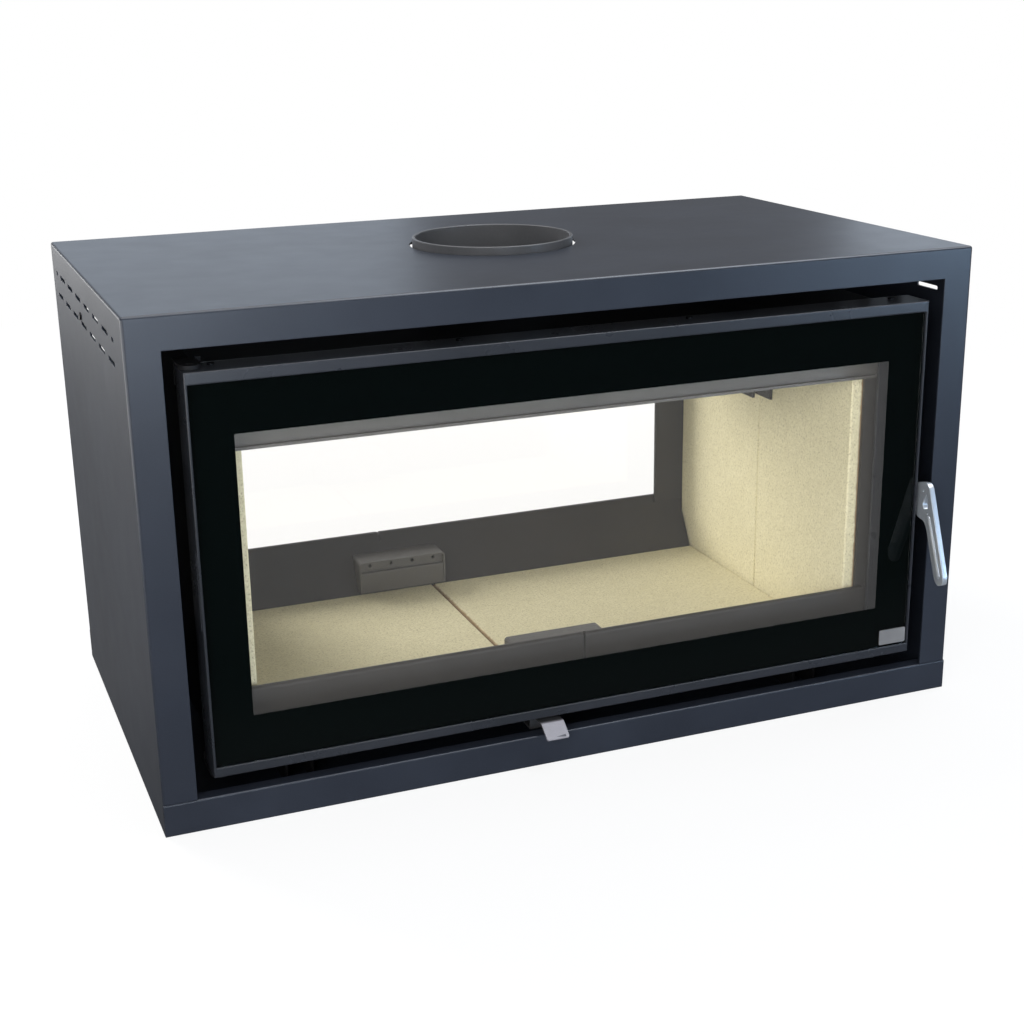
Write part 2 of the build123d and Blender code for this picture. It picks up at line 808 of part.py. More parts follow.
pane_half = door_inner - glass_gap
pane_x = (-pane_half, pane_half)
pane_z = (door_floor + glass_gap, door_ceiling - glass_gap)

with BuildPart() as front_door_glass:
    slab(pane_x, (glass_front, glass_back), pane_z)
save(front_door_glass, "front_door_glass")
save_turned(front_door_glass, "rear_door_glass")

with BuildPart() as front_glass_print:
    slab(pane_x, (glass_back, print_back), pane_z)
    clear_x = (-window_half_width, window_half_width)
    slab(clear_x, (glass_back, print_back), (window_low, window_high), Mode.SUBTRACT)
save(front_glass_print, "front_glass_print")
save_turned(front_glass_print, "rear_glass_print")

with BuildPart() as front_glass_seal:
    tape_half = pane_half - glass_tape_inset
    tape_low = pane_z[0] + glass_tape_inset
    tape_high = pane_z[1] - glass_tape_inset
    bore_half = tape_half - glass_tape_width
    bore_z = (tape_low + glass_tape_width, tape_high - glass_tape_width)
    slab((-tape_half, tape_half), (print_back, tape_back), (tape_low, tape_high))
    slab((-bore_half, bore_half), (print_back, tape_back), bore_z, Mode.SUBTRACT)
save(front_glass_seal, "front_glass_seal")
save_turned(front_glass_seal, "rear_glass_seal")

with BuildPart() as front_glass_retainers:
    clamp_y = (tape_back, tape_back + retainer_sheet)
    flange_y = (tape_back, tape_back + retainer_flange)
    retainer_x = (retainer_end_gap - door_inner, door_inner - retainer_end_gap)
    slab(retainer_x, clamp_y, (door_ceiling - retainer_lip, door_ceiling))
    slab(retainer_x, flange_y, (door_ceiling - retainer_sheet, door_ceiling))
    slab(retainer_x, clamp_y, (door_floor, door_floor + retainer_lip))
    slab(retainer_x, flange_y, (door_floor, door_floor + retainer_sheet))
    for side in (-1, 1):
        strip_x = sorted((side * (door_inner - retainer_lip), side * door_inner))
        strip_z = (door_floor + retainer_corner_gap, door_ceiling - retainer_corner_gap)
        slab(strip_x, clamp_y, strip_z)
    for screw_x in door_screw_places:
        upright_rod(screw_x, screw_y, (0, height), door_screw_radius, Mode.SUBTRACT)
save(front_glass_retainers, "front_glass_retainers")
save_turned(front_glass_retainers, "rear_glass_retainers")

with BuildPart() as front_door_screws:
    top_shank = (door_high - door_screw_length, door_high)
    top_head = (door_high, door_high + door_screw_head_height)
    low_shank = (door_low, door_low + door_screw_length)
    low_head = (door_low - door_screw_head_height, door_low)
    for screw_x in door_screw_places:
        upright_rod(screw_x, screw_y, top_shank, door_screw_radius)
        upright_rod(screw_x, screw_y, top_head, door_screw_head)
        upright_rod(screw_x, screw_y, low_shank, door_screw_radius)
        upright_rod(screw_x, screw_y, low_head, door_screw_head)
    crowns = front_door_screws.edges().filter_by(GeomType.CIRCLE).group_by(Axis.Z)
    fillet(crowns[-1] + crowns[0], door_screw_head_height * head_round)
save(front_door_screws, "front_door_screws")
save_turned(front_door_screws, "rear_door_screws")

with BuildPart() as front_door_rope:
    rope_y = (ring_back, frame_front - rope_clearance)
    with BuildSketch(Plane.XZ.offset(-rope_y[0])):
        with Locations((0, rope_middle)):
            RectangleRounded(2 * rope_half_width, rope_height, rope_corner)
            RectangleRounded(
                2 * (rope_half_width - rope_width),
                rope_height - 2 * rope_width,
                rope_corner - rope_width,
                mode=Mode.SUBTRACT,
            )
    extrude(amount=rope_y[0] - rope_y[1])
    fillet(front_door_rope.faces().sort_by(Axis.Y)[-1].edges(), rope_edge)
save(front_door_rope, "front_door_rope")
save_turned(front_door_rope, "rear_door_rope")

# ---- door hinges --------------------------------------------------------------------------------
plate_high = (door_high + hinge_end_gap, door_high + hinge_end_gap + hinge_plate)
plate_low = (door_low - hinge_end_gap - hinge_plate, door_low - hinge_end_gap)
pin_high = (door_ceiling - hinge_bush_height + hinge_pin_short, plate_high[1])
pin_low = (plate_low[0], door_floor + hinge_bush_height - hinge_pin_short)

with BuildPart() as front_hinge_brackets:
    arm_x = (hinge_x - hinge_plate_half_width, hinge_x + hinge_plate_half_width)
    for plate_z in (plate_low, plate_high):
        slab(arm_x, (hinge_y, frame_front), plate_z)
        upright_rod(hinge_x, hinge_y, plate_z, hinge_plate_half_width)
        upright_rod(hinge_x, hinge_y, plate_z, hinge_pin_radius, Mode.SUBTRACT)
save(front_hinge_brackets, "front_hinge_brackets")
save_turned(front_hinge_brackets, "rear_hinge_brackets")

with BuildPart() as front_hinge_pins:
    upright_rod(hinge_x, hinge_y, pin_high, hinge_pin_radius)
    upright_rod(hinge_x, hinge_y, pin_low, hinge_pin_radius)
save(front_hinge_pins, "front_hinge_pins")
save_turned(front_hinge_pins, "rear_hinge_pins")

with BuildPart() as front_hinge_bushes:
    bush_x = (-door_inner, hinge_x + hinge_bush_half_width)
    bush_y = (hinge_y - hinge_bush_half_width, hinge_y + hinge_bush_half_width)
    bush_high = (door_ceiling - hinge_bush_height, door_ceiling)
    bush_low = (door_floor, door_floor + hinge_bush_height)
    for bush_z in (bush_low, bush_high):
        slab(bush_x, bush_y, bush_z)
        upright_rod(hinge_x, hinge_y, bush_z, pin_hole, Mode.SUBTRACT)
save(front_hinge_bushes, "front_hinge_bushes")
save_turned(front_hinge_bushes, "rear_hinge_bushes")

# ---- handle and latch ---------------------------------------------------------------------------
with BuildPart() as front_handle_bush:
    sleeve_x = (door_inner - bush_inner, door_half_width + bush_flange)
    collar_x = (door_half_width, door_half_width + bush_flange)
    cross_rod(sleeve_x, lever_y, lever_z, bush_radius)
    cross_rod(collar_x, lever_y, lever_z, bush_flange_radius)
    shaft_hole = shaft_radius + hinge_running_gap
    cross_rod(sleeve_x, lever_y, lever_z, shaft_hole, Mode.SUBTRACT)
save(front_handle_bush, "front_handle_bush")
save_turned(front_handle_bush, "rear_handle_bush")


def lever_point(out, rise):
    """A point of the handle, from its distance out of the casing's face and above the pivot."""
    return (front - out, lever_z + rise)


with BuildPart() as front_handle:
    with BuildSketch(Plane.YZ.offset(lever_x)) as lever_outline:
        with BuildLine():
            Polyline(
                (lever_y, lever_z + lever_hub),
                lever_point(-arm_root, arm_top_rise),
                lever_point(knuckle_out, knuckle_rise),
                lever_point(heel_out, heel_rise),
                lever_point(tip_out, -tip_drop),
                lever_point(toe_out, -toe_drop),
                lever_point(end_out, -end_drop),
                lever_point(grip_inner_out, -grip_inner_drop),
                lever_point(crook_out, -crook_drop),
                lever_point(arm_crook_out, -arm_crook_drop),
                lever_point(-arm_root, -arm_bottom_drop),
                (lever_y, lever_z - lever_hub),
                close=True,
            )
        make_face()
        fillet(lever_outline.vertices().group_by(Axis.Y)[-1], knuckle_round)
        below_tip = lever_z - (crook_drop + tip_drop) / 2
        fillet(lever_outline.vertices().filter_by(lambda v: v.Y < below_tip), tip_round)
        with Locations((lever_y, lever_z)):
            Circle(lever_hub)
            Circle(shaft_radius, mode=Mode.SUBTRACT)
        with BuildLine():
            Polyline(
                lever_point(eye_top_out, eye_top_rise),
                lever_point(eye_far_out, -eye_far_drop),
                lever_point(eye_near_out, -eye_near_drop),
                close=True,
            )
        make_face(mode=Mode.SUBTRACT)
    extrude(amount=lever)
    beyond_eye = front - eye_far_out - rib_rise
    grip_edges = front_handle.edges().filter_by(Plane.YZ).filter_by(lambda e: e.center().Y < beyond_eye)
    fillet(grip_edges, grip_edge)
    for face_x, way in ((lever_x, -1), (lever_x + lever, 1)):
        with BuildSketch(Plane.YZ.offset(face_x)):
            with BuildLine() as inner_rib:
                Line(
                    lever_point(crook_out + rib_inset, -arm_crook_drop),
                    lever_point(grip_inner_out + 2 * rib_inset, rib_inset - toe_drop),
                )
            trace(line_width=rib_width)
            with BuildLine() as outer_rib:
                Line(
                    lever_point(heel_out - rib_inset, heel_rise),
                    lever_point(tip_out - rib_inset, -tip_drop),
                )
            trace(line_width=rib_width)
        extrude(amount=way * rib_rise)
    cross_rod((lever_x - rib_rise, lever_x), *lever_point(boss_out, -boss_drop), boss_radius)
    for spot in (
        lever_point(upper_dimple_out, upper_dimple_rise),
        lever_point(lower_dimple_out, -lower_dimple_drop),
    ):
        cross_rod((lever_x, lever_x + dimple_depth), *spot, dimple_radius, Mode.SUBTRACT)
save(front_handle, "front_handle")
save_turned(front_handle, "rear_handle")

with BuildPart() as front_handle_shaft:
    cross_rod((cam_x, lever_x + lever), lever_y, lever_z, shaft_radius)
save(front_handle_shaft, "front_handle_shaft")
save_turned(front_handle_shaft, "rear_handle_shaft")

with BuildPart() as front_latch_cam:
    nose_top = lever_z + cam_nose_top
    nose_back = lever_y + cam_reach
    with BuildSketch(Plane.YZ.offset(cam_x)):
        with Locations((lever_y, lever_z)):
            Circle(cam_hub)
        with BuildLine():
            Polyline(
                (lever_y, lever_z + cam_hub),
                (nose_back, nose_top),
                (nose_back, nose_top - cam_nose),
                (lever_y, lever_z - cam_hub),
                close=True,
            )
        make_face()
        with Locations((lever_y, lever_z)):
            Circle(shaft_radius, mode=Mode.SUBTRACT)
    extrude(amount=cam)
save(front_latch_cam, "front_latch_cam")
save_turned(front_latch_cam, "rear_latch_cam")

with BuildPart() as front_latch_keeper:
    keeper_low = nose_top + keeper_gap
    keeper_outer = cam_x + cam + keeper_sheet
    ledge_x = (frame_half_width, keeper_outer)
    plate_y = (frame_back, frame_back + keeper_sheet)
    ledge_y = (frame_back, frame_back + keeper_depth)
    plate_z = (keeper_low, keeper_low + keeper_height)
    slab((side_outer + brick_gap, keeper_outer), plate_y, plate_z)
    slab(ledge_x, ledge_y, (keeper_low, keeper_low + keeper_ledge))
save(front_latch_keeper, "front_latch_keeper")
save_turned(front_latch_keeper, "rear_latch_keeper")

# ---- blank plate on the front glass -------------------------------------------------------------
with BuildPart() as badge_plate:
    with BuildSketch(Plane.XZ.offset(-glass_front)):
        with Locations((door_half_width - badge_side_inset, door_low + badge_rise)):
            RectangleRounded(badge_width, badge_height, badge_corner)
    extrude(amount=badge_thickness)
save(badge_plate, "badge_plate")
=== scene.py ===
import json
import math
import bmesh
import bpy
from mathutils import Matrix, Vector


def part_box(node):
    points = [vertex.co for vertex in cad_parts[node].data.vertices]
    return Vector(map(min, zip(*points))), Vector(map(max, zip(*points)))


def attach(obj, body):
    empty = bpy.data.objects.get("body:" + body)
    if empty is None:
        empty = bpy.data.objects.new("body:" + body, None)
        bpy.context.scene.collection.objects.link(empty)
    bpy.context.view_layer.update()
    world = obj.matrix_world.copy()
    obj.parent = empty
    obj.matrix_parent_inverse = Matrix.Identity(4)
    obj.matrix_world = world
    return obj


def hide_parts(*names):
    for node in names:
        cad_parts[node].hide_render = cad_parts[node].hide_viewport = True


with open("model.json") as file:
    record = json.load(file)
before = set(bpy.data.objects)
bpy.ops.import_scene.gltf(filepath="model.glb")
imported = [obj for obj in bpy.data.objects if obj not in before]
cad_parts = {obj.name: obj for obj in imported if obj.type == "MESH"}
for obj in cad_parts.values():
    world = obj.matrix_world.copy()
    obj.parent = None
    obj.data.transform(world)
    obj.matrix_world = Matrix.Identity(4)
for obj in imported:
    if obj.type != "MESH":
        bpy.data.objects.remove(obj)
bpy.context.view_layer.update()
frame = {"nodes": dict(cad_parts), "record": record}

# A double-sided fireplace insert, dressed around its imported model. Metres, Z up, front at -Y.
nodes = frame["nodes"]
scene = bpy.context.scene
ENDS = ("front", "rear")

# ---- numbers of the materials -------------------------------------------------------------------
# patterns, in patches a metre
PAINT_CLOUDS = 7.0
PAINT_SPECKS = 700.0
PAINT_SHEEN = 25.0
PAINT_GRAIN = 900.0
CHAMBER_CLOUDS = 9.0
BRICK_GRAIN = 300.0
BRICK_PATCHES = 70.0
BRICK_CLOUDS = 9.0
BRICK_PIT_SHADE = 480.0
SCORCH_EDGE = 160.0
JOINT_CRUMBS = 120.0
PRINT_SPECKS = 1500.0
SCREW_GRAIN = 400.0
SILVER_CLOUDS = 30.0
SILVER_GRAIN = 1400.0
SLIDE_GRAIN = 600.0
YARN_GRAIN = 900.0

# reliefs, in metres
PAINT_RELIEF = 0.00003
BRICK_RELIEF = 0.0004
METAL_RELIEF = 0.00002
SILVER_RELIEF = 0.00001
YARN_RELIEF = 0.0002
BEVEL_SAMPLES = 6

# paint: the specks' tone and share, and how far the roughness wanders
SPECK_GAIN = 1.35
SPECK_SHARE = 0.35
SMOOTHER = 0.012
ROUGHER = 0.015

# how much each layer covers of the tone under it: in the fire chamber, on the bricks, on the slide
ASH_SHARE = 0.6
FLAKES_SHARE = 0.9
PATCHES_SHARE = 0.35
CLOUDS_SHARE = 0.2
PIT_SHADE_SHARE = 0.6
SCORCH_SHARE = 0.9
JOINT_SHARE = 0.85
GRAIN_SHARE = 0.25

# metres: paint browned inside, painted-shade black around it, side bricks' scorch, floor bricks'
# joint
CHAMBER_HALF_WIDTH = 0.372
CHAMBER_FLOOR = 0.045
CHAMBER_CEILING = 0.4462
BRICK_END = 0.1988
SCORCH_FROM = 0.3525
SCORCH_TO = 0.3545
SCORCH_RAGGED = 0.004
FLOOR_JOINT = -0.030
JOINT_WIDE = 0.0050
JOINT_NARROW = 0.0030
JOINT_RAGGED = 0.003
FLOOR_BRICK_TOP = 0.0605

# metres: where the air slide's tab turns lighter, and the wedge on it
TAB_FROM = -0.252
TAB_TO = -0.249
WEDGE_FROM = -0.0445
WEDGE_TO = -0.0335
WEDGE_HALF_HEIGHT = 0.0009
WEDGE_LEVEL = 0.0385

GLASS_INDEX = 1.46
GLASS_SHINE = 0.2
GLASS_TINT = (1.0, 0.995, 0.985)
GLASS_CLEAR = (0.965, 0.96, 0.95)


# ---- materials ----------------------------------------------------------------------------------
class Surface:
    """A procedural material: one Principled shader, and short calls that wire nodes to it."""

    def __init__(self, name, colour, roughness, metallic=0.0, specular=0.5):
        self.material = bpy.data.materials.new(name)
        self.material.use_nodes = True
        tree = self.material.node_tree
        self.nodes, self.links = tree.nodes, tree.links
        self.shader = self.nodes["Principled BSDF"]
        self.output = self.nodes["Material Output"]
        self.put("Base Color", (*colour, 1.0))
        self.put("Roughness", roughness)
        self.put("Metallic", metallic)
        self.put("Specular IOR Level", specular)
        self.place = self.node("ShaderNodeTexCoord").outputs["Object"]

    def put(self, socket, value):
        """Sets one of the shader's own sockets."""
        self.shader.inputs[socket].default_value = value

    def node(self, kind, inputs=None, **settings):
        """A new node with its settings, and its inputs set or linked."""
        made = self.nodes.new(kind)
        for key, value in settings.items():
            setattr(made, key, value)
        for key, value in (inputs or {}).items():
            if isinstance(value, bpy.types.NodeSocket):
                self.links.new(value, made.inputs[key])
            else:
                made.inputs[key].default_value = value
        return made

    def noise(self, scale, detail=3.0, roughness=0.5):
        """Noise with this many patches a metre."""
        inputs = {"Vector": self.place, "Scale": scale, "Detail": detail, "Roughness": roughness}
        return self.node("ShaderNodeTexNoise", inputs).outputs["Fac"]

    def spread(self, value, low, high, to_low=0.0, to_high=1.0):
        """A value mapped from one range to another, held at its ends."""
        inputs = {0: value, 1: low, 2: high, 3: to_low, 4: to_high}
        return self.node("ShaderNodeMapRange", inputs).outputs[0]

    def patches(self, low, high, scale, detail=3.0, roughness=0.5):
        """Noise as patches: none where it is under the low value, full over the high one."""
        return self.spread(self.noise(scale, detail, roughness), low, high)

    def math(self, kind, first, second=0.0):
        """One step of arithmetic."""
        return self.node("ShaderNodeMath", {0: first, 1: second}, operation=kind).outputs[0]

    def times(self, first, second):
        """The product of two values."""
        return self.math("MULTIPLY", first, second)

    def axis(self, name):
        """One of the object's coordinates."""
        return self.node("ShaderNodeSeparateXYZ", {0: self.place}).outputs[name]

    def away(self, name, middle=0.0):
        """How far a coordinate is from a middle value."""
        return self.math("ABSOLUTE", self.math("ADD", self.axis(name), -middle))

    def blend(self, share, first, second):
        """Two colours mixed by a share."""
        mixer = self.node("ShaderNodeMix", data_type="RGBA")
        for slot, value in ((0, share), (6, first), (7, second)):
            if isinstance(value, bpy.types.NodeSocket):
                self.links.new(value, mixer.inputs[slot])
            else:
                mixer.inputs[slot].default_value = value if slot == 0 else (*value, 1.0)
        return mixer.outputs[2]

    def laid(self, tone, mask, share, colour):
        """A tone with a colour laid over it by a share, where a mask lets it."""
        return self.blend(self.times(mask, share), tone, colour)

    def mixed(self, share, first, second):
        """Two shaders mixed by a share."""
        return self.node("ShaderNodeMixShader", {0: share, 1: first, 2: second}).outputs[0]

    def colour(self, value):
        """Links the base colour."""
        self.links.new(value, self.shader.inputs["Base Color"])

    def roughness(self, value):
        """Links the roughness."""
        self.links.new(value, self.shader.inputs["Roughness"])

    def surface(self, value):
        """Links the material's output to a shader other than the Principled one."""
        self.links.new(value, self.output.inputs["Surface"])

    def bump(self, height, distance, strength, rounding=0.0):
        """Raises the surface by a height of 0 to 1 times a distance, in metres, over soft edges."""
        inputs = {"Height": height, "Distance": distance, "Strength": strength}
        if rounding > 0:
            soft = self.node("ShaderNodeBevel", {"Radius": rounding}, samples=BEVEL_SAMPLES)
            inputs["Normal"] = soft.outputs["Normal"]
        normal = self.node("ShaderNodeBump", inputs).outputs["Normal"]
        self.links.new(normal, self.shader.inputs["Normal"])


def satin_paint(name, dark, light, roughness, specular=0.5, rounding=0.0):
    """Heat-proof paint: faint clouds of tone, light specks, a patchy sheen and a fine grain."""
    made = Surface(name, dark, roughness, specular=specular)
    clouds = made.patches(0.35, 0.65, PAINT_CLOUDS, 4.0, 0.6)
    specks = made.patches(0.4, 0.75, PAINT_SPECKS, 2.0)
    bright = tuple(SPECK_GAIN * channel for channel in light)
    toned = made.blend(clouds, dark, light)
    made.colour(made.laid(toned, specks, SPECK_SHARE, bright))
    sheen = made.noise(PAINT_SHEEN)
    made.roughness(made.spread(sheen, 0.3, 0.7, roughness - SMOOTHER, roughness + ROUGHER))
    made.bump(made.noise(PAINT_GRAIN, 2.0), PAINT_RELIEF, 0.6, rounding)
    return made.material


def firebox_paint():
    """Matt heat-proof paint: near-black beyond the fire chamber as painted shade for the gaps
    there, browned by the fire inside it.
    """
    # the near-black and its lighter patches are painted shade: the parts beyond the chamber sit in
    # dark gaps
    black, lighter_tone = (0.007, 0.007, 0.008), (0.011, 0.011, 0.012)
    soot, ash = (0.022, 0.020, 0.017), (0.033, 0.030, 0.026)
    made = Surface("firebox_paint", black, 0.6, specular=0.3)
    clouds = made.patches(0.35, 0.65, CHAMBER_CLOUDS, 4.0, 0.6)
    specks = made.spread(made.noise(PAINT_SPECKS, 2.0), 0.4, 0.75, 0.5, 0.9)
    # beyond the chamber: near-black, painted shade for the gaps
    shaded_outside = made.blend(clouds, black, lighter_tone)
    within = made.laid(made.blend(specks, soot, ash), clouds, ASH_SHARE, ash)
    beside = made.math("LESS_THAN", made.away("X"), CHAMBER_HALF_WIDTH)
    over = made.math("GREATER_THAN", made.axis("Z"), CHAMBER_FLOOR)
    under = made.math("LESS_THAN", made.axis("Z"), CHAMBER_CEILING)
    inside = made.times(beside, made.times(over, under))
    made.colour(made.blend(inside, shaded_outside, within))
    made.bump(made.noise(PAINT_GRAIN, 2.0), PAINT_RELIEF, 0.6)
    return made.material


def brick_board():
    """Pressed vermiculite board: cream, with fine flakes, darker spots of painted shade where the
    board is pitted, and a scorch at the doors.
    """
    cream, sand, shade = (0.79, 0.735, 0.51), (0.65, 0.595, 0.385), (0.36, 0.30, 0.17)
    brown = (0.17, 0.085, 0.03)
    made = Surface("brick", cream, 0.92, specular=0.2)
    grain = made.noise(BRICK_GRAIN, 4.0, 0.75)
    flakes = made.spread(grain, 0.42, 0.62)
    patches = made.patches(0.4, 0.65, BRICK_PATCHES, 3.0, 0.6)
    clouds = made.patches(0.35, 0.65, BRICK_CLOUDS)
    # darker spots: painted shade in the board's small hollows, which have no relief of their own
    pit_shade = made.patches(0.58, 0.68, BRICK_PIT_SHADE, 2.0)
    # the side bricks' ends are scorched in a thin ragged line along the posts
    ragged = made.times(made.noise(SCORCH_EDGE, 4.0, 0.7), SCORCH_RAGGED)
    outer = made.spread(made.math("ADD", made.away("X"), ragged), SCORCH_FROM, SCORCH_TO)
    scorch = made.times(outer, made.math("GREATER_THAN", made.away("Y"), BRICK_END))
    # the joint between the two floor bricks is brown and crumbled
    crumbs = made.times(made.noise(JOINT_CRUMBS, 3.0, 0.7), JOINT_RAGGED)
    beside = made.math("ADD", made.away("X", FLOOR_JOINT), crumbs)
    low = made.math("LESS_THAN", made.axis("Z"), FLOOR_BRICK_TOP)
    joint = made.times(made.spread(beside, JOINT_WIDE, JOINT_NARROW), low)
    tone = made.laid(cream, flakes, FLAKES_SHARE, sand)
    tone = made.laid(tone, patches, PATCHES_SHARE, sand)
    tone = made.laid(tone, clouds, CLOUDS_SHARE, sand)
    tone = made.laid(tone, pit_shade, PIT_SHADE_SHARE, shade)
    tone = made.laid(tone, scorch, SCORCH_SHARE, brown)
    made.colour(made.laid(tone, joint, JOINT_SHARE, brown))
    made.bump(grain, BRICK_RELIEF, 0.5)
    return made.material


def glass_pane():
    """Clear glass ceramic. Light from lamps and between surfaces passes straight through."""
    made = Surface("glass", GLASS_TINT, 0.0, specular=GLASS_SHINE)
    made.put("Transmission Weight", 1.0)
    made.put("IOR", GLASS_INDEX)
    path = made.node("ShaderNodeLightPath").outputs
    open_to = made.math("MAXIMUM", path["Is Shadow Ray"], path["Is Diffuse Ray"])
    clear = made.node("ShaderNodeBsdfTransparent", {"Color": (*GLASS_CLEAR, 1.0)})
    made.surface(made.mixed(open_to, made.shader.outputs[0], clear.outputs[0]))
    return made.material


def enamel():
    """Black enamel on the back of the glass."""
    made = Surface("black_print", (0.001, 0.002, 0.002), 0.6, specular=0.0)
    specks = made.patches(0.4, 0.7, PRINT_SPECKS, 1.0)
    made.colour(made.blend(specks, (0.0006, 0.0014, 0.0014), (0.0012, 0.0024, 0.0024)))
    return made.material


def screw_steel():
    """Dark bare steel with a fine grain."""
    dark, light, roughness = (0.03, 0.03, 0.032), (0.06, 0.06, 0.062), 0.35
    made = Surface("screw_steel", light, roughness, metallic=1.0)
    grain = made.noise(SCREW_GRAIN, 3.0, 0.6)
    made.colour(made.blend(made.spread(grain, 0.35, 0.65), dark, light))
    made.roughness(made.spread(grain, 0.3, 0.7, roughness - 0.05, roughness + 0.08))
    made.bump(grain, METAL_RELIEF, 0.5)
    return made.material


def satin_silver(name, dark, light, roughness):
    """Sand-blasted and lacquered light metal: an even, pale sheen."""
    made = Surface(name, light, roughness, metallic=0.75)
    clouds = made.patches(0.3, 0.7, SILVER_CLOUDS)
    made.colour(made.blend(clouds, dark, light))
    made.bump(made.noise(SILVER_GRAIN, 2.0), SILVER_RELIEF, 0.4)
    return made.material


def slide_steel():
    """The air slide: dark steel, lighter on the folded tab in front of the door."""
    dark, lighter_tone, grey = (0.030, 0.030, 0.032), (0.20, 0.19, 0.21), (0.12, 0.12, 0.125)
    mark = (0.012, 0.012, 0.02)
    made = Surface("slide_steel", dark, 0.42)
    grain = made.noise(SLIDE_GRAIN, 3.0, 0.6)
    # the tab in front of the door is lighter than the rest of the slide
    ahead = made.spread(made.axis("Y"), TAB_FROM, TAB_TO, 1.0, 0.0)
    tone = made.blend(ahead, dark, lighter_tone)
    tone = made.laid(tone, made.spread(grain, 0.35, 0.7), GRAIN_SHARE, grey)
    # a plain wedge on the tab grows towards more air
    growth = made.spread(made.axis("X"), WEDGE_FROM, WEDGE_TO)
    within = made.math("LESS_THAN", made.axis("X"), WEDGE_TO)
    reach = made.times(made.times(growth, WEDGE_HALF_HEIGHT), within)
    marked = made.math("LESS_THAN", made.away("Z", WEDGE_LEVEL), reach)
    made.colour(made.blend(made.times(marked, ahead), tone, mark))
    made.bump(grain, METAL_RELIEF, 0.5)
    return made.material


def fibre():
    """Glass fibre yarn, woven or braided."""
    dark, light = (0.035, 0.034, 0.033), (0.10, 0.10, 0.095)
    made = Surface("rope", light, 0.9, specular=0.2)
    made.put("Sheen Weight", 0.3)
    yarn = made.noise(YARN_GRAIN, 2.0, 0.7)
    made.colour(made.blend(made.spread(yarn, 0.35, 0.7), dark, light))
    made.bump(yarn, YARN_RELIEF, 0.8)
    return made.material


MATERIALS = {
    "casing_paint": satin_paint(
        "casing_paint", (0.014, 0.017, 0.025), (0.019, 0.023, 0.033), 0.32, rounding=0.001
    ),
    "firebox_paint": firebox_paint(),
    "collar_steel": satin_paint(
        "collar_steel", (0.048, 0.049, 0.052), (0.068, 0.069, 0.073), 0.36, rounding=0.0006
    ),
    "door_paint": satin_paint(
        "door_paint", (0.015, 0.017, 0.021), (0.022, 0.024, 0.030), 0.28, rounding=0.0018
    ),
    "inner_steel": satin_paint("inner_steel", (0.064, 0.060, 0.053), (0.080, 0.075, 0.066), 0.5),
    "slide_steel": slide_steel(),
    "glass": glass_pane(),
    "black_print": enamel(),
    "rope": fibre(),
    "brick": brick_board(),
    "screw_steel": screw_steel(),
    "handle_metal": satin_silver("handle_metal", (0.56, 0.60, 0.65), (0.66, 0.70, 0.75), 0.38),
    "badge_metal": satin_silver("badge_metal", (0.40, 0.385, 0.38), (0.47, 0.455, 0.45), 0.35),
}
GUARD_STEEL = satin_paint("guard_steel", (0.020, 0.018, 0.016), (0.029, 0.026, 0.023), 0.45, 0.3)
BOX_STEEL = satin_paint("box_steel", (0.072, 0.068, 0.061), (0.090, 0.085, 0.077), 0.5)

for part in frame["record"]["subparts"]:
    surface = nodes[part["node"]].data.materials
    surface.clear()
    surface.append(MATERIALS[part["material_slot"]])
for end in ENDS:
    nodes[end + "_log_guard"].data.materials[0] = GUARD_STEEL
    nodes[end + "_air_box"].data.materials[0] = BOX_STEEL


# ---- numbers of the pieces made here ------------------------------------------------------------
# metres, as in the part's source: the rope's and the tape's sections, and their yarns
ROPE_WIDTH = 0.012
ROPE_CORNER = 0.016
ROPE_RELIEF = 0.0006
ROPE_TWIST = 4
TAPE_WIDTH = 0.012
TAPE_RELIEF = 0.0003
TAPE_TWIST = 5
YARN = 0.003
SECTION_STEPS = 20
SECTION_SOFTNESS = 0.45
RING_ARCS = 6
LEAST_TURN = 0.0004

# metres: the print's window as in the part's source, its margin, corners and sink into the pane
WINDOW_HALF_WIDTH = 0.355
WINDOW_LOW = 0.1113
WINDOW_HIGH = 0.3945
PRINT_MARGIN = 0.0002
PRINT_CORNER = 0.002
WINDOW_CORNER = 0.0015
PRINT_SINK = 0.0001
PRINT_ARCS = 5

# metres: the casing's face, the lever's pivot, its faces across X, its eased edge, its ribs' rise
LEVER_FACE = -0.250
LEVER_PIVOT = 0.235
LEVER_PLATE = (0.4025, 0.4090)
LEVER_HUB_PLATE = (0.4012, 0.4100)
LEVER_EDGE = 0.0006
LEVER_EDGE_STEPS = 3
LEVER_RIB_RISE = 0.0015
# millimetres out from the casing's face, and above the pivot
LEVER_OUTLINE = (
    (-22.0, 13.0),
    (-4.0, 18.5),
    (10.0, 21.5),
    (15.5, 18.0),
    (50.5, -77.0),
    (49.5, -85.5),
    (41.0, -89.0),
    (35.0, -84.5),
    (22.3, -52.5),
    (15.0, -31.4),
    (9.5, -23.0),
    (-2.0, -21.5),
    (-22.0, -13.0),
)
LEVER_CORNER = 5.0
LEVER_EYE = ((11.5, 10.0), (15.0, -7.0), (8.0, -9.5), (5.0, -4.0))
LEVER_EYE_CORNER = 1.5
LEVER_HOLES = ((5.5, 11.0), (15.5, -12.6))
LEVER_HOLE_RADIUS = 1.2
LEVER_HUB_OUT = -22.0
LEVER_HUB_RADIUS = 13.0
LEVER_RIB = ((17.5, -18.0), (41.0, -76.5))
LEVER_RIB_HALF = 3.6
LEVER_SHARP = 35.0
EASE_STEPS = 6
EASE_MOST = 2.2
DISC_STEPS = 32
RIB_LEVELS = 6
RIB_STEPS = 8
RIB_LEAST = 0.02


